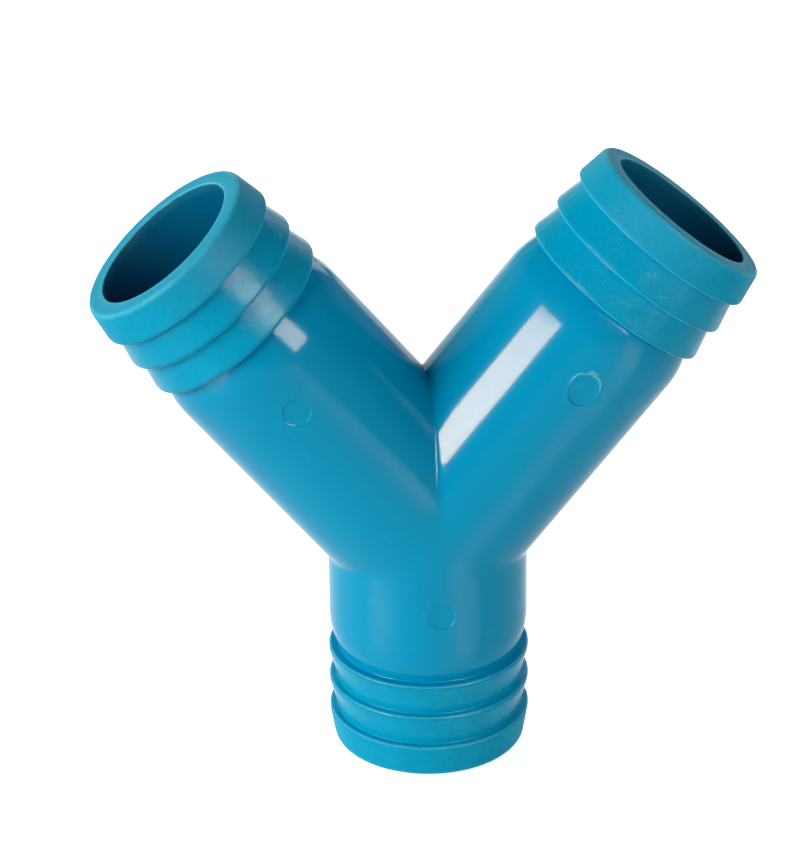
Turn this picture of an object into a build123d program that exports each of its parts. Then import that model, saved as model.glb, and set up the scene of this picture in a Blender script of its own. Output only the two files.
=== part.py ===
from build123d import *
import os

# One-piece moulded Y connector for flexible tubing, standing on the end face of its stem.
# Frame: millimetres, +Z up, origin at the centre of the stem's end face. Both arms lie in
# the plane y = 0, and the ejector marks are on the -Y side.

# Whole part
stem_length = 34.7          # end face of the stem to the point where the three axes meet
arm_length = 56.5           # the same point to the end face of an arm
arm_angle = 39.0            # degrees between an arm's axis and the upright

# Plain tube of each leg
body_diameter = 28.0
bore_diameter = 21.6
bore_edge_break = 0.2       # bevel where the bore meets an end face

# Barbed end, the same on all three legs
crest_diameter = 28.4       # over the barbs, the size that stretches the tubing
crest_land = 0.3            # short cylindrical length at the top of each ramp
crest_edge_break = 0.25
barb_count = 3
barb_pitch = 4.9            # crest to crest
first_barb_length = 5.0     # end face to the first crest
mouth_taper = 0.75          # how far the first ramp falls below the crest at the end face
mouth_edge_break = 0.65
step_depth = 1.05           # crest to the foot of the step behind it, where the next ramp starts
neck_depth = 1.4            # the same behind the last crest, where the neck starts
neck_length = 5.3           # from that foot to the full body diameter

# Round flat marks of the ejector pins, one on each leg
pin_mark_diameter = 4.0
pin_mark_depth = 0.2
pin_mark_setback = 25.7     # end face of the leg to the centre of its mark

cut_overrun = 2.0           # how far a cutting solid passes the face it opens


def leg_places():
    """Return (place, length) of each leg: the place turns +Z along the leg's axis."""
    junction = Pos(0, 0, stem_length)
    return [
        (junction * Rot(0, 180, 0), stem_length),
        (junction * Rot(0, -arm_angle, 0), arm_length),
        (junction * Rot(0, arm_angle, 0), arm_length),
    ]


def corners_at(section, places):
    """Pick the section's corners that lie at the given (radius, height) places."""
    picked = []
    for radius, height in places:
        place = Vector(radius, height)
        picked.append(min(section.vertices(), key=lambda corner: (Vector(corner) - place).length))
    return picked


def leg_solid(length):
    """Turn the outer form of one leg: body, neck, barbs and mouth, seen as a half section."""
    body_radius = body_diameter / 2
    crest_radius = crest_diameter / 2
    ramp_foot_radius = crest_radius - step_depth
    neck_foot_radius = crest_radius - neck_depth
    first_step = length - first_barb_length
    steps = [first_step - barb * barb_pitch for barb in range(barb_count)]
    body_top = (body_radius, steps[-1] - neck_length)
    neck_foot = (neck_foot_radius, steps[-1])
    mouth_corner = (crest_radius - mouth_taper, length)
    crest_corners = [(crest_radius, step) for step in steps]
    barbs = [neck_foot]
    for step in reversed(steps):
        barbs.append((crest_radius, step))
        barbs.append((crest_radius, step + crest_edge_break + crest_land))
        if step != first_step:
            barbs.append((ramp_foot_radius, step + barb_pitch))
    with BuildSketch(Plane.XZ) as half_section:
        with BuildLine():
            Polyline((0, length), (0, 0), (body_radius, 0), body_top)
            TangentArc(body_top, neck_foot, tangent=(0, 1))
            Polyline(*barbs, mouth_corner, (0, length))
        make_face()
        chamfer(corners_at(half_section, crest_corners), length=crest_edge_break)
        chamfer(corners_at(half_section, [mouth_corner]), length=mouth_edge_break)
    return revolve(half_section.sketch, axis=Axis.Z)


def bore_solid(length):
    """Turn the space inside one leg, widened by the bevel at its mouth."""
    bore_radius = bore_diameter / 2
    mouth_radius = bore_radius + bore_edge_break
    top = length + cut_overrun
    with BuildSketch(Plane.XZ) as half_section:
        with BuildLine():
            Polyline(
                (0, 0), (bore_radius, 0), (bore_radius, length - bore_edge_break),
                (mouth_radius, length), (mouth_radius, top), (0, top), (0, 0),
            )
        make_face()
    return revolve(half_section.sketch, axis=Axis.Z)


def pin_mark_solid(length):
    """Make the shallow round pocket that an ejector pin leaves on the front of a leg."""
    floor = body_diameter / 2 - pin_mark_depth
    pocket = Cylinder(pin_mark_diameter / 2, cut_overrun, align=(Align.CENTER, Align.CENTER, Align.MIN))
    return Pos(0, -floor, length - pin_mark_setback) * Rot(90, 0, 0) * pocket


def y_connector():
    """Join the three legs, open their bores and sink the ejector marks."""
    body = Part()
    for place, length in leg_places():
        body += place * leg_solid(length)
    for place, length in leg_places():
        body -= place * bore_solid(length)
        body -= place * pin_mark_solid(length)
    return body


os.makedirs("parts", exist_ok=True)
connector = y_connector()
export_step(connector, "parts/y_connector.step")
box = connector.bounding_box()
print(f"solids {len(connector.solids())}, volume {connector.volume:.1f} mm3, size {box.size}")
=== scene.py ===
"""Dressed model of a moulded Y connector for hose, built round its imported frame.

The connector is one moulding: a stem and two arms, each a plain tube that ends in three barbs.
Every leg is a surface worked out on a grid of (row along the leg, angle round the leg), and the
three grids share the points of the creases where the legs meet. All lengths are in metres, in
the frame's own axes.
"""

import logging
import math
from dataclasses import dataclass, field
from enum import Enum

import bmesh
import bpy
import numpy as np
from mathutils import Matrix

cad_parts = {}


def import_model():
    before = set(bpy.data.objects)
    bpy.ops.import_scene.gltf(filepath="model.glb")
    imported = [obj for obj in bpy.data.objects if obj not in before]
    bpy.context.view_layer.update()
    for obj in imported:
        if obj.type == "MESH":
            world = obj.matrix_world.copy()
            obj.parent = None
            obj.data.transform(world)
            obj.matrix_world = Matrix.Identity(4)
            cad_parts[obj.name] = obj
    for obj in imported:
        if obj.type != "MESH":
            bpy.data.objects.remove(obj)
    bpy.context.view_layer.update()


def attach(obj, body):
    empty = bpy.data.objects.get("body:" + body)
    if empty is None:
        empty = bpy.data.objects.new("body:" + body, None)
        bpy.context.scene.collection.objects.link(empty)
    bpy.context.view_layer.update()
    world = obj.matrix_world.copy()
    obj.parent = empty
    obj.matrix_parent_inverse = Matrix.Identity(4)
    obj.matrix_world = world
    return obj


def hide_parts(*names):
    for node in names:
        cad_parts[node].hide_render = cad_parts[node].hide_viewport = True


LOG = logging.getLogger("y_connector")
Array = np.ndarray
Item = bpy.types.Object
Tree = bpy.types.NodeTree
Socket = bpy.types.NodeSocket
MM = 0.001
SLACK = 1e-9  # metres by which equal lengths may differ
STRAIGHT = 1e-4  # radians of turn below which a corner is no corner
NEAREST = 1e-12  # metres that stand in for no distance
FLATTEST = 1e-6  # squared slope that stands in for none
CAD_NODE = "y_connector"
BODY = "root"
MOULDING = "y_connector_moulding"
# Point attribute: the pale parting line, and the highlights painted on edges and on the burr's
# crest.
SEAM_AND_HIGHLIGHTS = "pale_seam_and_painted_highlights"
UP = np.array([0.0, 0.0, 1.0])
FRONT = np.array([0.0, -1.0, 0.0])


class LegName(Enum):
    """The three legs of the moulding."""

    STEM = "stem"
    LEFT_ARM = "left_arm"
    RIGHT_ARM = "right_arm"


class Finish(Enum):
    """The finishes of the mould, and the bore's painted shade, each the index of its material on
    the moulding.
    """

    POLISHED = 0
    SATIN = 1
    MATTE = 2
    # Inside the tube: the same plastic with a darker colour, which is painted shade.
    BORE = 3


def eased(value: Array) -> Array:
    """Smooth step from 0 to 1: three times the clipped value squared, less twice its cube."""
    clipped = np.clip(value, 0.0, 1.0)
    return clipped * clipped * (3.0 - 2.0 * clipped)


def new_item(name: str, data: bpy.types.ID) -> Item:
    """Put a new object with this data in the scene and return it."""
    item = bpy.data.objects.new(name, data)
    bpy.context.scene.collection.objects.link(item)
    return item


def rounded_profile(
    corners: Array, radii: Array, arc_spans: int, hold: float, longest: float
) -> Array:
    """Round the corners of a polyline and give it rows close to each end of a rounding.

    Each corner becomes an arc tangent to both of its runs. The arc starts at the radius times the
    tangent of half the turn before the corner, and a point on it is that start plus the radius
    times (sine of the angle along the run, one less cosine of the angle across it).

    Args:
        corners: Points of the polyline, one (along, radius) pair in each row.
        radii: Rounding radius of each corner, where zero keeps it sharp; the two ends aren't read.
        arc_spans: Spans in each arc.
        hold: Distance from an arc's end to the row that keeps the shading of the run flat.
        longest: Longest span left on a run.

    Returns:
        The rounded profile, one (along, radius) pair in each row.
    """
    pieces: list[Array] = [corners[:1]]
    for corner, before, after, radius in zip(corners[1:-1], corners[:-2], corners[2:], radii[1:-1]):
        run_in = (corner - before) / np.linalg.norm(corner - before)
        run_out = (after - corner) / np.linalg.norm(after - corner)
        turn = math.acos(float(np.clip(run_in @ run_out, -1.0, 1.0)))
        if radius <= 0.0 or turn < STRAIGHT:
            pieces.append(corner[None, :])
            continue
        inward = (run_out - run_in * math.cos(turn)) / math.sin(turn)
        start = corner - run_in * radius * math.tan(turn / 2.0)
        angle = np.linspace(0.0, turn, arc_spans + 1)[:, None]
        arc = start + radius * (np.sin(angle) * run_in + (1.0 - np.cos(angle)) * inward)
        pieces.append(np.vstack([arc[:1] - run_in * hold, arc, arc[-1:] + run_out * hold]))
    pieces.append(corners[-1:])
    points = np.vstack(pieces)
    lengths = np.linalg.norm(np.diff(points, axis=0), axis=1)
    counts = np.maximum(1, np.ceil(lengths / longest).astype(int))
    runs = [
        start + (end - start) * np.linspace(0.0, 1.0, count, endpoint=False)[:, None]
        for start, end, count in zip(points[:-1], points[1:], counts)
    ]
    return np.vstack([*runs, points[-1:]])


@dataclass(frozen=True)
class HighlightedEdge:
    """An edge with a highlight painted along it, given by how its middle lies from a corner of the
    leg.
    """

    along: float
    outwards: float
    width: float
    share: float


@dataclass(frozen=True)
class BarbedEnd:
    """The barbed end of a leg as a half section, the same on all three legs."""

    body_radius: float = 14.0 * MM
    bore_radius: float = 10.8 * MM
    crest_radius: float = 14.2 * MM
    mouth_radius: float = 13.45 * MM
    ramp_foot_radius: float = 13.15 * MM
    neck_foot_radius: float = 12.8 * MM
    first_crest: float = 5.0 * MM
    pitch: float = 4.9 * MM
    crest_land: float = 0.55 * MM
    neck_length: float = 5.3 * MM
    barb_count: int = 3
    crest_rounding: float = 0.34 * MM
    land_rounding: float = 1.6 * MM
    foot_rounding: float = 0.16 * MM
    mouth_rounding: float = 0.85 * MM
    bore_rounding: float = 0.22 * MM
    rounding_spans: int = 6
    neck_points: int = 13
    hold: float = 0.05 * MM
    longest_span: float = 1.3 * MM
    # Highlights painted as pale colour along the barbs' lips and both rims of the mouth.
    lip_highlight: HighlightedEdge = HighlightedEdge(0.1 * MM, -0.08 * MM, 0.17 * MM, 0.35)
    mouth_highlight: HighlightedEdge = HighlightedEdge(-0.2 * MM, -0.2 * MM, 0.34 * MM, 0.5)
    bore_rim_highlight: HighlightedEdge = HighlightedEdge(-0.04 * MM, 0.06 * MM, 0.2 * MM, 0.7)

    @property
    def wall_middle(self) -> float:
        """Distance of the wall's middle from the axis."""
        return (self.body_radius + self.bore_radius) / 2.0

    def last_step(self, length: float) -> float:
        """Return how far along a leg of this length its last step stands."""
        return length - self.first_crest - self.pitch * (self.barb_count - 1)

    def steps(self, length: float) -> Array:
        """Return how far along a leg of this length each of its steps stands."""
        return self.last_step(length) + self.pitch * np.arange(self.barb_count)

    def neck_arc(self, length: float) -> Array:
        """Return the neck: an arc tangent to the body that falls to the foot of the last step.

        Its radius is (length squared plus fall squared) over twice the fall, and a point on it is
        the radius times (sine of the angle along the leg, one less cosine of it inwards).

        Args:
            length: Distance from the junction to the end face.

        Returns:
            Points of the arc, one (along, radius) pair in each row.
        """
        fall = self.body_radius - self.neck_foot_radius
        arc_radius = (self.neck_length**2 + fall**2) / (2.0 * fall)
        angle = np.linspace(0.0, math.asin(self.neck_length / arc_radius), self.neck_points)
        along = self.last_step(length) - self.neck_length + arc_radius * np.sin(angle)
        return np.column_stack([along, self.body_radius - arc_radius * (1.0 - np.cos(angle))])

    def outline(self, start: float, length: float, bore_end: float) -> Array:
        """Return the half section from the body, over the barbs and the mouth, down the bore.

        Args:
            start: Where the outline begins on the plain tube.
            length: Distance from the junction to the end face.
            bore_end: Where the outline ends inside the bore.

        Returns:
            One (along, radius) pair in each row.
        """
        neck = self.neck_arc(length)
        corners = [tuple(neck[-1])]
        radii = [self.foot_rounding]
        for step in self.steps(length):
            corners += [(step, self.crest_radius), (step + self.crest_land, self.crest_radius)]
            radii += [self.crest_rounding, self.land_rounding]
            if step < length - self.first_crest - self.pitch / 2.0:
                corners.append((step + self.pitch, self.ramp_foot_radius))
                radii.append(self.foot_rounding)
        corners += [(length, self.mouth_radius), (length, self.bore_radius)]
        corners.append((bore_end, self.bore_radius))
        radii += [self.mouth_rounding, self.bore_rounding, 0.0]
        barbs = rounded_profile(
            np.array([tuple(neck[-2]), *corners]),
            np.array([0.0, *radii]),
            self.rounding_spans,
            self.hold,
            self.longest_span,
        )
        plain = np.array([[start, self.body_radius], [neck[0, 0] - self.hold, self.body_radius]])
        return np.vstack([plain, neck[:-1], barbs[1:]])

    def painted_highlight(self, length: float, along: Array, radius: Array) -> Array:
        """Return the highlight painted on the lips of the barbs and both rims of the mouth.

        Each edge is a bell curve of the distance from its middle in the half section.

        Args:
            length: Distance from the junction to the end face.
            along: Distance of each point along the leg.
            radius: Distance of each point from the leg's axis.

        Returns:
            Strength of the painted highlight at each point, from 0 to 1.
        """
        edges = [(step, self.crest_radius, self.lip_highlight) for step in self.steps(length)]
        edges.append((length, self.mouth_radius, self.mouth_highlight))
        edges.append((length, self.bore_radius, self.bore_rim_highlight))
        shares = []
        for at, out, edge in edges:
            squared = (along - (at + edge.along)) ** 2 + (radius - (out + edge.outwards)) ** 2
            shares.append(edge.share * np.exp(-squared / edge.width**2))
        return np.max(shares, axis=0)


@dataclass(frozen=True)
class Burr:
    """The thin film of plastic that has crept round one ejector pin and lies folded outwards."""

    towards: float = math.radians(104.0)
    half_width: float = math.radians(42.0)
    near: float = 2.06 * MM
    reach_out: float = 1.12 * MM
    low: float = 0.03 * MM
    high: float = 0.3 * MM
    slow_ripple: float = 0.06
    slow_waves: float = 5.0
    slow_phase: float = 0.6
    fast_ripple: float = 0.05
    fast_waves: float = 11.0
    inner_slope: float = 0.2 * MM
    inner_slope_at_ends: float = 0.35
    outer_slope: float = 0.13 * MM
    trough: float = 0.05 * MM
    trough_width: float = 0.2 * MM
    highlight_rise: float = 0.1 * MM

    def height(self, ring: Array, bearing: Array) -> Array:
        """Return how far the film stands off the tube.

        A bell curve of the bearing, with a little rippling, moves the film's crest outwards and
        raises it. Across the film the height is a bell curve, wider on the inner side, less a
        shallow trough between the crest and the mark.

        Args:
            ring: Distance from the mark's centre.
            bearing: Direction from the mark's centre, from across the leg towards its mouth.

        Returns:
            Height of the film at each point.
        """
        turn = np.angle(np.exp(1j * (bearing - self.towards)))
        bell = np.exp(-((turn / self.half_width) ** 2) / 2.0)
        slow = self.slow_ripple * np.sin(self.slow_waves * bearing + self.slow_phase)
        fast = self.fast_ripple * np.sin(self.fast_waves * bearing)
        rippled = 1.0 + slow + fast
        crest = self.near + self.reach_out * bell * rippled
        across = ring - crest
        narrowing = self.inner_slope_at_ends + (1.0 - self.inner_slope_at_ends) * bell
        slope = np.where(across < 0.0, self.inner_slope * narrowing, self.outer_slope)
        ridge = (self.low + self.high * bell * rippled) * np.exp(-((across / slope) ** 2))
        halfway = (crest + self.near) / 2.0
        dip = self.trough * bell * np.exp(-(((ring - halfway) / self.trough_width) ** 2))
        return ridge - dip

    def painted_highlight(self, height: Array) -> Array:
        """Return the highlight painted on the film's crest: its height over the rise less a half,
        kept to 0 to 1.
        """
        return np.clip(height / self.highlight_rise - 0.5, 0.0, 1.0)


@dataclass(frozen=True)
class PinMark:
    """The flat round mark that an ejector pin leaves, with the thin lip that rises round it.

    The lip's place, round_to and film_from are shares of the radius. The rings of the grid round
    it are in millimetres from its centre.
    """

    setback: float = 25.7 * MM
    radius: float = 2.0 * MM
    depth: float = 0.2 * MM
    wall: float = 0.12 * MM
    lip: float = 0.04 * MM
    lip_place: float = 1.035
    lip_width: float = 0.07 * MM
    round_to: float = 1.07
    fade: float = 0.45 * MM
    film_from: float = 1.001
    rings: tuple[float, ...] = (
        0.0, 0.6, 1.1, 1.5, 1.75, 1.87, 1.94, 1.98, 2.02, 2.07, 2.13, 2.2, 2.3, 2.42
    )
    film_rings: tuple[float, ...] = (
        2.54, 2.66, 2.78, 2.9, 3.02, 3.14, 3.26, 3.38, 3.5, 3.62, 3.75, 3.9
    )

    def offsets(self, burred: bool) -> Array:
        """Return the grid offsets either side of the mark's centre, smallest first."""
        half = np.array(self.rings + (self.film_rings if burred else ())) * MM
        return np.concatenate([-half[:0:-1], half])

    def drawn_round(self, across: Array, along: Array, reach: float) -> tuple[Array, Array, Array]:
        """Draw the square grid round the mark into circles.

        Each point keeps its direction from the centre, and its distance becomes the larger of its
        two coordinates. Towards the reach this fades out, so that the outermost ring is the square
        it was.

        Args:
            across: Distance round the leg from the mark's centre.
            along: Distance along the leg from the mark's centre.
            reach: Where the square grid is left as it is.

        Returns:
            The new (across, along) and the ring that each point lies on.
        """
        ring = np.maximum(np.abs(across), np.abs(along))
        distance = np.maximum(np.hypot(across, along), NEAREST)
        fade_from = max(self.radius * self.round_to, reach - self.fade)
        kept = 1.0 - eased((ring - fade_from) / (reach - fade_from))
        factor = np.where(ring < SLACK, 1.0, 1.0 + (ring / distance - 1.0) * kept)
        return across * factor, along * factor, ring

    def sunk(self, radius: Array, angle: Array, ring: Array) -> Array:
        """Sink the disc to a flat floor and raise the lip.

        Inside the mark the point lies on the plane at (radius less depth) from the axis, so its
        own distance from the axis is that over the cosine of its angle. The wall between is a
        smooth step, and the lip is a bell curve just outside it.

        Args:
            radius: Distance of each point from the leg's axis.
            angle: Angle of each point from the front of the leg.
            ring: Distance of each point's ring from the mark's centre.

        Returns:
            The new distance of each point from the axis.
        """
        inside = 1.0 - eased((ring - self.radius + self.wall) / self.wall)
        floor = (radius - self.depth) / np.cos(angle)
        off_lip = (ring - self.radius * self.lip_place) / self.lip_width
        return radius + (floor - radius) * inside + self.lip * np.exp(-(off_lip**2))


@dataclass(frozen=True)
class Leg:
    """One leg of the moulding: a direction from the junction and a length."""

    name: LegName
    lean: float
    length: float

    @property
    def axis(self) -> Array:
        """Unit direction of the leg, from its lean away from the upright in degrees."""
        lean = math.radians(self.lean)
        return np.array([math.sin(lean), 0.0, math.cos(lean)])

    @property
    def side(self) -> Array:
        """Unit direction across the leg, square to its axis and to the front."""
        return np.cross(self.axis, FRONT)


@dataclass
class Connector:
    """The whole moulding: three legs that meet at one point, with their creases rounded.

    The crease rows are given in millimetres from the crease, and the columns at the parting line
    in widths of that line.
    """

    junction: float = 34.7 * MM
    stem_length: float = 34.7 * MM
    arm_length: float = 56.5 * MM
    arm_lean: float = 39.0
    crease_softness: float = 0.15 * MM
    soften_rounds: int = 4
    crease_clear: float = 1.5 * MM
    crease_rows: tuple[float, ...] = (0.0, 0.05, 0.1, 0.16, 0.23, 0.31, 0.41, 0.54, 0.72, 0.98, 1.3)
    fan_rows: int = 8
    bore_fan_rows: int = 6
    plain_step: float = 1.3 * MM
    column_step: float = 0.68 * MM
    back_column_step: float = 1.1 * MM
    seam_width: float = 0.16 * MM
    seam_height: float = 0.035 * MM
    seam_paleness: float = 0.2
    seam_columns: tuple[float, ...] = (-2.2, -1.0, -0.5, 0.0, 0.5, 1.0, 2.2)
    bore_margin: float = 0.02 * MM
    merge_distance: float = 0.002 * MM
    sharp_angle: float = math.radians(42.0)
    burr: Burr = field(default_factory=Burr)
    burred_leg: LegName = LegName.RIGHT_ARM
    end: BarbedEnd = field(default_factory=BarbedEnd)
    mark: PinMark = field(default_factory=PinMark)

    def legs(self) -> list[Leg]:
        """Return the three legs, the stem first."""
        return [
            Leg(LegName.STEM, 180.0, self.stem_length),
            Leg(LegName.LEFT_ARM, -self.arm_lean, self.arm_length),
            Leg(LegName.RIGHT_ARM, self.arm_lean, self.arm_length),
        ]

    def columns(self) -> Array:
        """Return the angles round a leg, from the front, the same to the left and to the right.

        Close to the front the columns follow the rings of the ejector mark. Further round they
        are evenly spread, with extra ones at each side for the parting line.

        Returns:
            Angles from just over minus a half turn up to a half turn.
        """
        near = self.mark.offsets(True)
        near = near[near > 0.0] / self.end.body_radius
        seam = self.seam_width / self.end.body_radius * np.array(self.seam_columns) + math.pi / 2.0
        ahead_spans = math.ceil((seam[0] - near[-1]) / (self.column_step / self.end.body_radius))
        ahead = np.linspace(near[-1], seam[0], 1 + ahead_spans)[1:-1]
        back_step = self.back_column_step / self.end.body_radius
        behind_spans = math.ceil((math.pi - seam[-1]) / back_step)
        behind = np.linspace(seam[-1], math.pi, 1 + behind_spans)[1:-1]
        half = np.concatenate([near, ahead, seam, behind])
        return np.concatenate([-half[::-1], [0.0], half, [math.pi]])

    def outward(self, leg: Leg, angle: Array) -> Array:
        """Return the way out of a leg at each angle: cosine of the front, sine of the side."""
        return np.cos(angle)[..., None] * FRONT + np.sin(angle)[..., None] * leg.side

    def crease(self, leg: Leg, angle: Array, radius: float) -> Array:
        """Return where a leg's tube starts, on the planes that halve the angles between the legs.

        For another leg the distance is the radius times (normal dot its axis), over one less the
        dot of the two axes, and the largest of these counts.

        Args:
            leg: The leg whose tube is cut.
            angle: Angles from the front.
            radius: Radius of the tube.

        Returns:
            Distance along the leg from the junction at each angle.
        """
        normal = self.outward(leg, angle)
        starts = [
            radius * (normal @ other.axis) / (1.0 - float(leg.axis @ other.axis))
            for other in self.legs()
            if other.name is not leg.name
        ]
        return np.maximum(np.max(starts, axis=0), 0.0)

    def seam_bell(self, away: Array) -> Array:
        """Return the parting line's bell curve: exp(-2 times the square of away / width)."""
        return np.exp(-((away / self.seam_width) ** 2) * 2.0)

    def rows(self, leg: Leg, angle: Array) -> tuple[Array, Array]:
        """Return the distance along the leg and from its axis for every row and column.

        Args:
            leg: The leg.
            angle: Angles from the front, one for each column.

        Returns:
            Two arrays of rows by columns, from the outer crease over the mouth to the bore's.
        """
        body, bore = self.end.body_radius, self.end.bore_radius
        outer = self.crease(leg, angle, body)
        inner = self.crease(leg, angle, bore)
        first = float(outer.max()) + self.crease_clear
        last = float(inner.max()) + self.crease_clear
        close = np.array(self.crease_rows) * MM
        fan = np.linspace(0.0, 1.0, self.fan_rows + 1)[1:-1, None]
        bore_fan = np.linspace(0.0, 1.0, self.bore_fan_rows + 1)[1:, None]
        near_outer = np.vstack(
            [outer + close[:, None], outer + close[-1] + (first - outer - close[-1]) * fan]
        )
        near_inner = last + (inner - last) * bore_fan
        outline = self.end.outline(first, leg.length, last)
        neck_start = outline[1, 0]
        centre = leg.length - self.mark.setback
        marked = centre + self.mark.offsets(leg.name is self.burred_leg)
        before_spans = max(1, int((marked[0] - first) / self.plain_step))
        after_spans = max(1, int((neck_start - marked[-1]) / self.plain_step))
        before = np.linspace(first, marked[0], 1 + before_spans)[:-1]
        after = np.linspace(marked[-1], neck_start, 1 + after_spans)[1:-1]
        plain = np.concatenate([before, marked, after])
        plain = plain[plain >= first - SLACK]
        plain_pairs = np.column_stack([plain, np.full(len(plain), body)])
        past_body = outline[:, 0] >= neck_start - SLACK
        fixed = np.vstack([plain_pairs, outline[past_body][1:]])
        shape = (len(fixed), len(angle))
        along = np.vstack([near_outer, np.broadcast_to(fixed[:, :1], shape), near_inner])
        radius = np.vstack(
            [
                np.full(near_outer.shape, body),
                np.broadcast_to(fixed[:, 1:], shape),
                np.full(near_inner.shape, bore),
            ]
        )
        return along, radius

    def leg_surface(self, leg: Leg) -> tuple[Array, Array]:
        """Work out the grid of one leg.

        A point is the junction plus its distance along the axis plus its distance from the axis
        times (cosine of the angle towards the front, sine of the angle towards the side).

        Args:
            leg: The leg.

        Returns:
            Points of rows by columns by three, and each point's (along, radius, pale share), the
            pale share being the pale parting line and the highlights painted on the edges and the
            burr's crest.
        """
        body = self.end.body_radius
        burred = leg.name is self.burred_leg
        columns = self.columns()
        along, radius = self.rows(leg, columns)
        angle = np.broadcast_to(columns, along.shape).copy()
        outside = radius > self.end.wall_middle
        centre = leg.length - self.mark.setback
        reach = float(self.mark.offsets(burred)[-1])
        across, beyond, ring = self.mark.drawn_round(angle * body, along - centre, reach)
        window = outside & (ring < reach + SLACK)
        angle = np.where(window, across / body, angle)
        along = np.where(window, beyond + centre, along)
        radius = np.where(window, self.mark.sunk(radius, angle, ring), radius)
        if burred:
            film = self.burr.height(ring, np.arctan2(beyond, across))
            filmed = window & (ring > self.mark.radius * self.mark.film_from)
            radius = np.where(filmed, radius + film, radius)
        first = float(self.crease(leg, columns, body).max()) + self.crease_clear
        near_crease = outside & (along < first)
        off_seam = np.abs(np.abs(angle) - math.pi / 2.0) * body
        line = np.where(outside, self.seam_bell(off_seam), 0.0)
        radius = np.where(near_crease, radius, radius + self.seam_height * line)
        # The barbs' lips, the mouth's rims and the burr's crest get painted highlights as pale
        # colour; the pale parting line is its own.
        pale = self.end.painted_highlight(leg.length, along, radius)
        pale = np.maximum(pale, self.seam_paleness * line)
        if burred:
            pale = np.maximum(pale, np.where(window, self.burr.painted_highlight(film), 0.0))
        normal = self.outward(leg, angle)
        points = self.junction * UP + along[..., None] * leg.axis + radius[..., None] * normal
        points = np.where(near_crease[..., None], self.soften(points), points)
        return points, np.stack([along, radius, pale], axis=-1)

    def soften(self, points: Array) -> Array:
        """Move points on to the rounded union of the three tubes.

        The distance to each tube is the distance to its half axis less its radius and the height
        of the parting line there. The blended distance is minus the softness times the logarithm
        of the sum of exp(-distance / softness), and each point slides down its gradient until
        that is zero.

        Args:
            points: Points on the tubes.

        Returns:
            The moved points.
        """
        body, softness = self.end.body_radius, self.crease_softness
        moved = points.copy()
        for _ in range(self.soften_rounds):
            gaps, slopes = [], []
            for leg in self.legs():
                offset = moved - self.junction * UP
                along = np.maximum(offset @ leg.axis, 0.0)
                away = offset - along[..., None] * leg.axis
                distance = np.linalg.norm(away, axis=-1)
                off_seam = np.arcsin(np.clip(np.abs(away @ FRONT) / distance, 0.0, 1.0)) * body
                gaps.append(distance - body - self.seam_height * self.seam_bell(off_seam))
                slopes.append(away / distance[..., None])
            gap = np.array(gaps)
            nearest = gap.min(axis=0)
            share = np.exp(-(gap - nearest) / softness)
            total = share.sum(axis=0)
            blended = nearest - softness * np.log(total)
            slope = np.einsum("l...,l...c->...c", share / total, np.array(slopes))
            steep = np.maximum((slope**2).sum(axis=-1), FLATTEST)
            moved -= (blended / steep)[..., None] * slope
        return moved

    def finishes(self, leg: Leg, along: Array, radius: Array) -> Array:
        """Return the finish of each row of faces.

        The tube and its neck are polished, the barbs are satin, the end face and the barb next to
        it are matte, and the inside takes the bore material, whose darker colour is painted shade.

        Args:
            leg: The leg.
            along: Distance of each row along the leg.
            radius: Distance of each row from the axis.

        Returns:
            The material index of each row of faces.
        """
        finish = np.full(len(along) - 1, Finish.POLISHED.value)
        middle = (along[1:] + along[:-1]) / 2.0
        finish[middle > self.end.last_step(leg.length)] = Finish.SATIN.value
        finish[middle > leg.length - self.end.first_crest] = Finish.MATTE.value
        inside = (radius[1:] + radius[:-1]) / 2.0 < self.end.bore_radius + self.bore_margin
        # The inside takes the darker bore material, which is painted shade.
        finish[inside] = Finish.BORE.value
        return finish

    def build(self) -> Item:
        """Build the moulding as one closed mesh and put it in the scene.

        Returns:
            The mesh object, at the origin.
        """
        points, faces, finishes, pale, row_counts = [], [], [], [], []
        offset = 0
        for leg in self.legs():
            grid, where = self.leg_surface(leg)
            rows, columns = grid.shape[:2]
            row_counts.append(rows)
            index = offset + np.arange(rows * columns).reshape(rows, columns)
            after = np.roll(index, -1, axis=1)
            around = np.stack([index[:-1], after[:-1], after[1:], index[1:]], axis=-1)
            faces.append(around.reshape(-1, 4))
            points.append(grid.reshape(-1, 3))
            pale.append(where[..., 2].reshape(-1))
            finishes.append(np.repeat(self.finishes(leg, where[:, 0, 0], where[:, 0, 1]), columns))
            offset += rows * columns
        mesh = bpy.data.meshes.new(MOULDING)
        mesh.from_pydata(np.vstack(points), [], np.vstack(faces).tolist())
        mesh.polygons.foreach_set("material_index", np.concatenate(finishes).astype(np.int32))
        mesh.polygons.foreach_set("use_smooth", np.ones(len(mesh.polygons), dtype=bool))
        layer = mesh.attributes.new(SEAM_AND_HIGHLIGHTS, "FLOAT", "POINT")
        layer.data.foreach_set("value", np.concatenate(pale).astype(np.float32))
        working = bmesh.new()
        working.from_mesh(mesh)
        bmesh.ops.remove_doubles(working, verts=working.verts, dist=self.merge_distance)
        open_edges = sum(1 for edge in working.edges if not edge.is_manifold)
        working.to_mesh(mesh)
        working.free()
        mesh.set_sharp_from_angle(angle=self.sharp_angle)
        sizes = (len(mesh.vertices), len(mesh.polygons), open_edges)
        LOG.info("moulding: %d points, %d faces, %d open edges", *sizes)
        LOG.info("moulding: %s rows by %d columns", row_counts, len(self.columns()))
        return new_item(MOULDING, mesh)


@dataclass(frozen=True)
class Ramp:
    """A smooth rise or fall of one value as another goes from its low to its high mark."""

    low: float
    high: float
    to_low: float
    to_high: float


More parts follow.
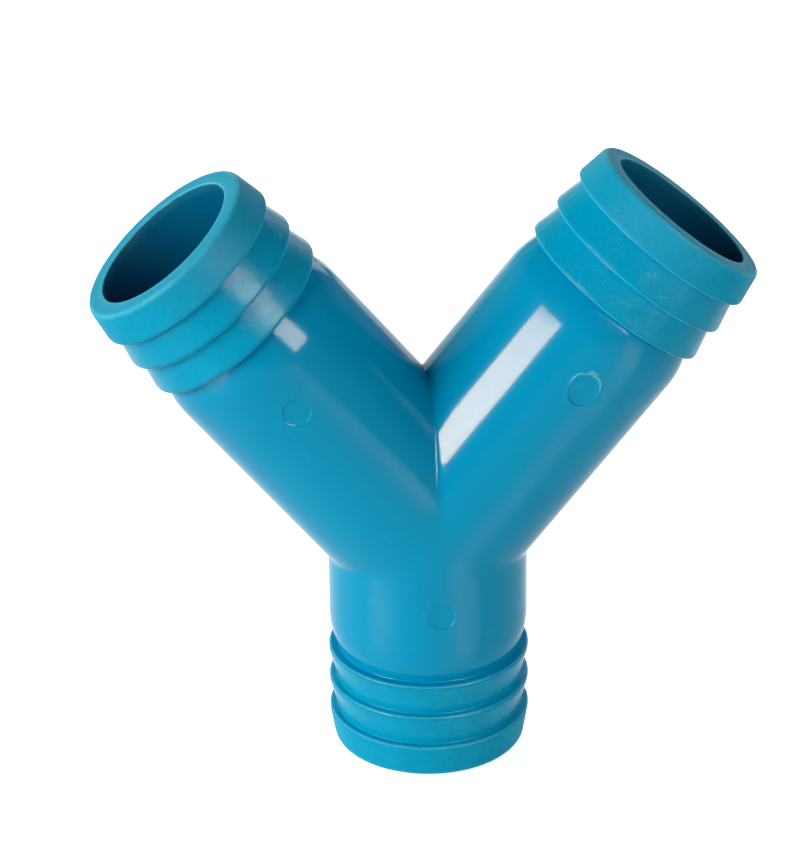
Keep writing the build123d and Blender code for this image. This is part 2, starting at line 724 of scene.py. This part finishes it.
class NodeWriter:
    """Adds nodes to a tree and links them, so that each effect reads in the order it is made."""

    # Sockets of a Mix node set to colours, which share their names with its other kinds.
    MIX_SHARE, MIX_FIRST, MIX_SECOND, MIX_RESULT = 0, 6, 7, 2

    def __init__(self, tree: Tree) -> None:
        """Keep the tree that the nodes go into."""
        self.tree = tree

    def node(self, kind: str, values: dict | None = None, **settings: object) -> bpy.types.Node:
        """Add a node.

        Args:
            kind: The node's type name, without its leading ShaderNode.
            values: Input sockets by name or index, each a plain value or another node's output.
            **settings: The node's own settings.

        Returns:
            The new node.
        """
        node = self.tree.nodes.new("ShaderNode" + kind)
        for name, value in settings.items():
            setattr(node, name, value)
        for name, value in (values or {}).items():
            self.feed(value, node.inputs[name])
        return node

    def feed(self, value: object, socket: Socket) -> None:
        """Link another node's output to an input socket, or set a plain value on it."""
        if isinstance(value, Socket):
            self.tree.links.new(value, socket)
        else:
            socket.default_value = value

    def math(
        self, operation: str, first: object, second: object = 0.0, clamped: bool = False
    ) -> Socket:
        """Add a Math node and return its result."""
        values = {0: first, 1: second}
        return self.node("Math", values, operation=operation, use_clamp=clamped).outputs[0]

    def ramp(self, value: object, ramp: Ramp) -> Socket:
        """Add a smooth Map Range node and return its result."""
        span = {"Value": value, "From Min": ramp.low, "From Max": ramp.high}
        values = {**span, "To Min": ramp.to_low, "To Max": ramp.to_high}
        return self.node("MapRange", values, interpolation_type="SMOOTHSTEP").outputs["Result"]

    def noise(self, place: object, scale: object, detail: float, roughness: float = 0.5) -> Socket:
        """Add a noise texture and return its value."""
        values = {"Vector": place, "Scale": scale, "Detail": detail, "Roughness": roughness}
        return self.node("TexNoise", values).outputs["Fac"]

    def mixed(self, share: object, first: object, second: object) -> Socket:
        """Add a Mix node for colours and return its result."""
        values = {self.MIX_SHARE: share, self.MIX_FIRST: first, self.MIX_SECOND: second}
        return self.node("Mix", values, data_type="RGBA").outputs[self.MIX_RESULT]


def new_group(name: str, inputs: dict[str, float], outputs: tuple[str, ...]) -> Tree:
    """Make an empty shader node group with named sockets.

    Args:
        name: Name of the group.
        inputs: Names of the inputs with their starting values.
        outputs: Names of the outputs.

    Returns:
        The group's tree, with its input and output nodes in it.
    """
    group = bpy.data.node_groups.new(name, "ShaderNodeTree")
    for label, value in inputs.items():
        socket = group.interface.new_socket(label, in_out="INPUT", socket_type="NodeSocketFloat")
        socket.default_value = value
    for label in outputs:
        group.interface.new_socket(label, in_out="OUTPUT", socket_type="NodeSocketFloat")
    group.nodes.new("NodeGroupInput")
    group.nodes.new("NodeGroupOutput")
    return group


@dataclass
class PlasticEffects:
    """The effects that the moulding's finishes share, each a node group that is built once.

    Scales are in features to the metre.
    """

    patch_scale: float = 420.0
    patch_strength: Ramp = Ramp(0.3, 0.7, 0.5, 1.3)
    wave_scale: float = 160.0
    cloud_scale: float = 90.0
    mottle_scale: float = 1300.0
    scratch_scale: float = 800.0
    scratch_stretch: float = 20.0
    scratch_leans: tuple[float, float] = (0.55, -0.95)
    scratch_edge: Ramp = Ramp(0.03, 0.07, 1.0, 0.0)
    scratch_paleness: float = 0.12
    speck_scale: float = 210.0
    speck_edge: Ramp = Ramp(0.018, 0.034, 1.0, 0.0)
    speckless: float = 0.8
    speck_paleness: float = 0.35
    edge_breakup_scale: float = 700.0
    edge_breakup_ramp: Ramp = Ramp(0.3, 0.6, 0.55, 1.0)
    tint: Tree = field(init=False)
    marks_and_highlights: Tree = field(init=False)
    grain: Tree = field(init=False)

    def __post_init__(self) -> None:
        """Build the three groups."""
        self.tint = self.build_tint()
        self.marks_and_highlights = self.build_marks_and_highlights()
        self.grain = self.build_grain()

    def build_tint(self) -> Tree:
        """Build the unevenness of the pigment: slow clouds and fine mottle about a share of one.

        Returns:
            The group's tree.
        """
        group = new_group("pigment_clouds", {"Spread": 0.05, "Mottle": 0.05}, ("Share",))
        write = NodeWriter(group)
        given = group.nodes["Group Input"].outputs
        place = write.node("TexCoord").outputs["Object"]
        cloud = write.noise(place, self.cloud_scale, detail=4.0, roughness=0.55)
        fine = write.noise(place, self.mottle_scale, detail=3.0, roughness=0.65)
        spread = write.math("MULTIPLY", write.math("SUBTRACT", cloud, 0.5), given["Spread"])
        mottle = write.math("MULTIPLY", write.math("SUBTRACT", fine, 0.5), given["Mottle"])
        share = write.math("ADD", write.math("ADD", spread, mottle), 1.0)
        write.feed(share, group.nodes["Group Output"].inputs["Share"])
        return group

    def build_marks_and_highlights(self) -> Tree:
        """Build the marks: hair-fine scratches and specks of dust, the pale parting line, and
        highlights painted on the barbs' lips, the mouth's rims and the burr's crest.

        A scratch is the middle of a cell that is drawn out into a needle, leaning one way or the
        other. A speck is the middle of a round cell, and only one cell in several has one.

        Returns:
            The group's tree.
        """
        group = new_group(
            "handling_marks_and_painted_highlights",
            {"Edge Paleness": 1.0, "Scratch Amount": 1.0},
            ("Paleness", "Scratches", "Specks"),
        )
        write = NodeWriter(group)
        given = group.nodes["Group Input"].outputs
        sent = group.nodes["Group Output"].inputs
        place = write.node("TexCoord").outputs["Object"]
        needles = [self.needles(write, place, lean) for lean in self.scratch_leans]
        scratches = write.math("MAXIMUM", *needles)
        scratches = write.math("MULTIPLY", scratches, given["Scratch Amount"])
        values = {"Vector": place, "Scale": self.speck_scale, "Randomness": 1.0}
        cell = write.node("TexVoronoi", values).outputs
        lot = write.node("SeparateColor", {"Color": cell["Color"]}).outputs["Red"]
        chosen = write.math("GREATER_THAN", lot, self.speckless)
        specks = write.math("MULTIPLY", write.ramp(cell["Distance"], self.speck_edge), chosen)
        # The pale parting line and the painted highlights, broken into patches by noise.
        edge = write.node("Attribute", attribute_name=SEAM_AND_HIGHLIGHTS).outputs["Fac"]
        edge_breakup = write.noise(place, self.edge_breakup_scale, detail=3.0, roughness=0.7)
        seam_and_edge_highlights = write.math("MULTIPLY", edge, write.ramp(edge_breakup, self.edge_breakup_ramp))
        seam_and_edge_highlights = write.math("MULTIPLY", seam_and_edge_highlights, given["Edge Paleness"])
        pale_scratches = write.math("MULTIPLY", scratches, self.scratch_paleness)
        pale_specks = write.math("MULTIPLY", specks, self.speck_paleness)
        marked = write.math("ADD", pale_scratches, pale_specks)
        write.feed(write.math("ADD", seam_and_edge_highlights, marked, clamped=True), sent["Paleness"])
        write.feed(scratches, sent["Scratches"])
        write.feed(specks, sent["Specks"])
        return group

    def needles(self, write: NodeWriter, place: object, lean: float) -> Socket:
        """Add cells drawn out into needles and return a mask of their middles.

        Args:
            write: Writer of the tree that they go into.
            place: Socket of the object's coordinates.
            lean: Turn of the needles about the front, in radians.

        Returns:
            The mask's socket.
        """
        stretch = (1.0, 1.0, self.scratch_stretch)
        values = {"Vector": place, "Rotation": (0.0, lean, 0.0), "Scale": stretch}
        turned = write.node("Mapping", values, vector_type="TEXTURE").outputs["Vector"]
        values = {"Vector": turned, "Scale": self.scratch_scale, "Randomness": 1.0}
        return write.ramp(write.node("TexVoronoi", values).outputs["Distance"], self.scratch_edge)

    def build_grain(self) -> Tree:
        """Build the grain of a blasted mould: fine noise in patches, over a slow waviness.

        Returns:
            The group's tree.
        """
        group = new_group(
            "mould_grain",
            {"Grain Height": 1.0, "Grains per Metre": 5000.0, "Wave Height": 1.0},
            ("Height",),
        )
        write = NodeWriter(group)
        given = group.nodes["Group Input"].outputs
        place = write.node("TexCoord").outputs["Object"]
        fine = write.noise(place, given["Grains per Metre"], detail=2.0, roughness=0.6)
        strength = write.ramp(write.noise(place, self.patch_scale, detail=1.0), self.patch_strength)
        grain = write.math("MULTIPLY", fine, given["Grain Height"])
        grain = write.math("MULTIPLY", grain, strength)
        slow = write.noise(place, self.wave_scale, detail=1.0)
        wave = write.math("MULTIPLY", slow, given["Wave Height"])
        write.feed(write.math("ADD", grain, wave), group.nodes["Group Output"].inputs["Height"])
        return group


@dataclass(frozen=True)
class BluePlastic:
    """One finish of the moulding's teal blue plastic, or its darker copy for the bore, which is
    painted shade.
    """

    name: str
    roughness: float
    grain_height: float
    grains_per_metre: float
    mottle: float
    colour: tuple[float, float, float] = (0.0, 0.292, 0.525)
    specular_level: float = 0.08
    scratches: float = 1.0
    # Colour of scratches, specks and the pale parting line, and of the painted highlights.
    pale_colour: tuple[float, float, float, float] = (0.1, 0.56, 0.68, 1.0)
    edge_paleness: float = 1.0
    cloudiness: float = 0.1
    wave_height: float = 0.004
    scratch_roughness: float = 0.2
    scratch_depth: float = 0.003
    speck_height: float = 0.02

    def build(self, effects: PlasticEffects) -> bpy.types.Material:
        """Build the material from the shared effects.

        The pigment is the plastic's colour times its clouds, mixed towards the pale colour by
        scratches and specks of dust, the pale parting line and the highlights painted on the edges
        and the burr. The roughness rises along scratches, and grain, scratches and specks stand in
        the bump.

        Args:
            effects: The shared node groups.

        Returns:
            The new material.
        """
        material = bpy.data.materials.new("blue_plastic_" + self.name)
        material.use_nodes = True
        write = NodeWriter(material.node_tree)
        shader = material.node_tree.nodes["Principled BSDF"].inputs
        shader["Specular IOR Level"].default_value = self.specular_level
        values = {"Spread": self.cloudiness, "Mottle": self.mottle}
        share = write.node("Group", values, node_tree=effects.tint).outputs["Share"]
        values = {"Edge Paleness": self.edge_paleness, "Scratch Amount": self.scratches}
        marks = write.node("Group", values, node_tree=effects.marks_and_highlights).outputs
        values = {0: self.colour, "Scale": share}
        pigment = write.node("VectorMath", values, operation="SCALE").outputs["Vector"]
        # Mix towards the pale colour: scratches, specks, the pale parting line and painted
        # highlights.
        colour = write.mixed(marks["Paleness"], pigment, self.pale_colour)
        write.feed(colour, shader["Base Color"])
        rougher = write.math("MULTIPLY", marks["Scratches"], self.scratch_roughness)
        write.feed(write.math("ADD", rougher, self.roughness), shader["Roughness"])
        values = {"Grain Height": self.grain_height, "Grains per Metre": self.grains_per_metre}
        values["Wave Height"] = self.wave_height
        grain = write.node("Group", values, node_tree=effects.grain).outputs["Height"]
        specks = write.math("MULTIPLY", marks["Specks"], self.speck_height)
        scored = write.math("MULTIPLY", marks["Scratches"], -self.scratch_depth)
        height = write.math("ADD", grain, write.math("ADD", specks, scored))
        bump = write.node("Bump", {"Height": height, "Distance": MM, "Strength": 1.0})
        write.feed(bump.outputs["Normal"], shader["Normal"])
        return material


PLASTICS: dict[Finish, BluePlastic] = {
    Finish.POLISHED: BluePlastic("polished", 0.12, 0.0015, 4000.0, 0.04),
    Finish.SATIN: BluePlastic(
        "satin", 0.17, 0.055, 4200.0, 0.2, colour=(0.0, 0.322, 0.545), specular_level=0.055
    ),
    Finish.MATTE: BluePlastic(
        "matte", 0.5, 0.05, 4200.0, 0.35, colour=(0.0, 0.318, 0.53), specular_level=0.045
    ),
    # The bore: the same plastic with a darker colour, painted shade inside the tube.
    Finish.BORE: BluePlastic(
        "bore", 0.3, 0.003, 3500.0, 0.06, colour=(0.0, 0.135, 0.28), scratches=0.4
    ),
}


def place_facing(item: Item, place: Array, back: Array, roll: float) -> None:
    """Place an object so that its local +Z is back, its +X is level and then turned by the roll.

    Args:
        item: The light or camera.
        place: Where it stands.
        back: Unit direction from what it faces towards it.
        roll: Turn about its own axis, in radians.
    """
    level = np.cross(UP, back)
    level /= np.linalg.norm(level)
    rise = np.cross(back, level)
    right = level * math.cos(roll) + rise * math.sin(roll)
    over = rise * math.cos(roll) - level * math.sin(roll)
    rows = np.column_stack([right, over, back, place])
    item.matrix_world = Matrix([*rows.tolist(), [0.0, 0.0, 0.0, 1.0]])


class Falls(Enum):
    """What a softbox is seen by, so that its light and its reflection can be set apart."""

    ON_SURFACES = "light"
    IN_GLOSS = "gloss"


@dataclass(frozen=True)
class Softbox:
    """A softbox aimed at the connector, given by how it looks from there.

    Towards is its azimuth and elevation and span its width and height, all in degrees. Azimuth 0
    is the front, growing towards the right.
    """

    name: str
    falls: Falls
    towards: tuple[float, float]
    span: tuple[float, float]
    radiance: float
    colour: tuple[float, float, float] = (1.0, 1.0, 1.0)
    roll: float = 0.0
    distance: float = 2.0

    def build(self, target: Array) -> Item:
        """Hang the light in its place, facing the target.

        Its sides are twice the distance times the tangent of half the angle, and its power is the
        radiance times pi times its area.

        Args:
            target: The point it is aimed at.

        Returns:
            The light.
        """
        azimuth, elevation = (math.radians(angle) for angle in self.towards)
        width, height = (math.radians(angle) for angle in self.span)
        level = math.cos(elevation)
        sideways, forwards = math.sin(azimuth) * level, -math.cos(azimuth) * level
        away = np.array([sideways, forwards, math.sin(elevation)])
        data = bpy.data.lights.new(self.name, "AREA")
        data.shape = "RECTANGLE"
        data.size = 2.0 * self.distance * math.tan(width / 2.0)
        data.size_y = 2.0 * self.distance * math.tan(height / 2.0)
        data.energy = self.radiance * math.pi * data.size * data.size_y
        data.color = self.colour
        lamp = new_item(self.name, data)
        place_facing(lamp, target + away * self.distance, away, math.radians(self.roll))
        lamp.visible_camera = False
        lamp.visible_diffuse = self.falls is Falls.ON_SURFACES
        lamp.visible_glossy = self.falls is Falls.IN_GLOSS
        return lamp


@dataclass
class Studio:
    """The room, the floor, the lights and the camera."""

    target: tuple[float, float, float] = (0.0, 0.0, 0.045)
    camera_place: tuple[float, float, float] = (-62.392 * MM, -466.778 * MM, 278.625 * MM)
    camera_back: tuple[float, float, float] = (-0.11208, -0.89157, 0.43879)
    camera_roll: float = math.radians(-0.7504)
    focal_length: float = 3772.25  # in pixels of the render
    render_long_side: float = 850.0
    sensor_width: float = 36.0
    seen_from: float = 0.01
    seen_to: float = 20.0
    floor_size: float = 3.0
    floor_shade: float = 0.6
    floor_roughness: float = 0.3
    floor_glow: float = 0.77
    horizon: float = 0.3
    wall: Ramp = Ramp(-0.3, 0.7, 0.05, 0.3)
    wall_rise: Ramp = Ramp(0.08, 0.3, 0.0, 1.0)
    ceiling: Ramp = Ramp(0.25, 0.5, 1.0, 0.04)
    softboxes: tuple[Softbox, ...] = (
        Softbox("key_light", Falls.ON_SURFACES, (-64.0, 20.0), (50.0, 32.0), 5.5),
        Softbox("side_light", Falls.ON_SURFACES, (22.0, 22.0), (44.0, 24.0), 1.55),
        Softbox(
            "left_wall", Falls.ON_SURFACES, (-145.0, 8.0), (80.0, 24.0), 4.6, (1.0, 0.97, 0.7)
        ),
        Softbox("right_wall", Falls.ON_SURFACES, (155.0, 10.0), (70.0, 28.0), 1.7),
        Softbox("right_fill", Falls.ON_SURFACES, (72.0, 8.0), (50.0, 24.0), 0.12),
        Softbox("high_fill", Falls.ON_SURFACES, (95.0, 37.0), (40.0, 14.0), 2.9),
        Softbox(
            "key_gloss", Falls.IN_GLOSS, (-61.0, 17.5), (32.5, 10.5), 106.0, (1.0, 0.76, 0.56),
            roll=-17.4,
        ),
        Softbox(
            "side_gloss", Falls.IN_GLOSS, (33.5, 30.1), (39.0, 22.0), 47.0, (1.0, 0.86, 0.74),
            roll=-60.0, distance=2.5,
        ),
        Softbox("rim_gloss", Falls.IN_GLOSS, (165.0, 16.0), (40.0, 18.0), 2.4),
    )

    def world(self) -> None:
        """Light the room: brightest low down and at the back, dim in front and dark overhead."""
        world = bpy.data.worlds.new("studio_room")
        bpy.context.scene.world = world
        world.use_nodes = True
        write = NodeWriter(world.node_tree)
        background = world.node_tree.nodes["Background"].inputs
        place = write.node("TexCoord").outputs["Generated"]
        aim = write.node("SeparateXYZ", {"Vector": place}).outputs
        wall = write.ramp(aim["Y"], self.wall)
        rise = write.ramp(aim["Z"], self.wall_rise)
        low = write.node("Mix", {"Factor": rise, "A": self.horizon, "B": wall}).outputs["Result"]
        ceiling = write.ramp(aim["Z"], self.ceiling)
        write.feed(write.math("MULTIPLY", low, ceiling), background["Strength"])
        background["Color"].default_value = (1.0, 1.0, 1.0, 1.0)

    def floor(self) -> Item:
        """Lay the pale floor, white to the camera and in reflections, which keeps the shadow.

        Returns:
            The floor.
        """
        half = self.floor_size / 2.0
        mesh = bpy.data.meshes.new("studio_floor")
        corners = [(-half, -half, 0.0), (half, -half, 0.0), (half, half, 0.0), (-half, half, 0.0)]
        mesh.from_pydata(corners, [], [(0, 1, 2, 3)])
        item = new_item("studio_floor", mesh)
        material = bpy.data.materials.new("pale_floor")
        material.use_nodes = True
        write = NodeWriter(material.node_tree)
        shader = material.node_tree.nodes["Principled BSDF"].inputs
        shader["Base Color"].default_value = (*[self.floor_shade] * 3, 1.0)
        shader["Roughness"].default_value = self.floor_roughness
        shader["Emission Color"].default_value = (1.0, 1.0, 1.0, 1.0)
        path = write.node("LightPath").outputs
        mirrored = write.math("MAXIMUM", path["Is Glossy Ray"], path["Is Transmission Ray"])
        seen = write.math("MAXIMUM", path["Is Camera Ray"], mirrored)
        write.feed(write.math("MULTIPLY", seen, self.floor_glow), shader["Emission Strength"])
        mesh.materials.append(material)
        return item

    def camera(self) -> Item:
        """Set up the camera: its lens is the focal length times sensor width over the long side.

        Returns:
            The camera.
        """
        data = bpy.data.cameras.new("studio_camera")
        data.sensor_width = self.sensor_width
        data.lens = self.focal_length * self.sensor_width / self.render_long_side
        data.clip_start, data.clip_end = self.seen_from, self.seen_to
        camera = new_item("studio_camera", data)
        place, back = np.array(self.camera_place), np.array(self.camera_back)
        place_facing(camera, place, back, self.camera_roll)
        bpy.context.scene.camera = camera
        return camera

    def build(self) -> None:
        """Set up the room, the floor, the lights and the camera."""
        bpy.context.scene.view_settings.view_transform = "Standard"
        self.world()
        self.floor()
        for box in self.softboxes:
            box.build(np.array(self.target))
        self.camera()
        LOG.info("studio: %d softboxes", len(self.softboxes))


def main() -> None:
    """Build the connector round its frame, dress it and light it."""
    logging.basicConfig(level=logging.INFO, format="%(name)s: %(message)s", force=True)
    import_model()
    moulding = Connector().build()
    effects = PlasticEffects()
    for finish in Finish:
        moulding.data.materials.append(PLASTICS[finish].build(effects))
    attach(moulding, BODY)
    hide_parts(CAD_NODE)
    Studio().build()


if __name__ == "__main__":
    main()
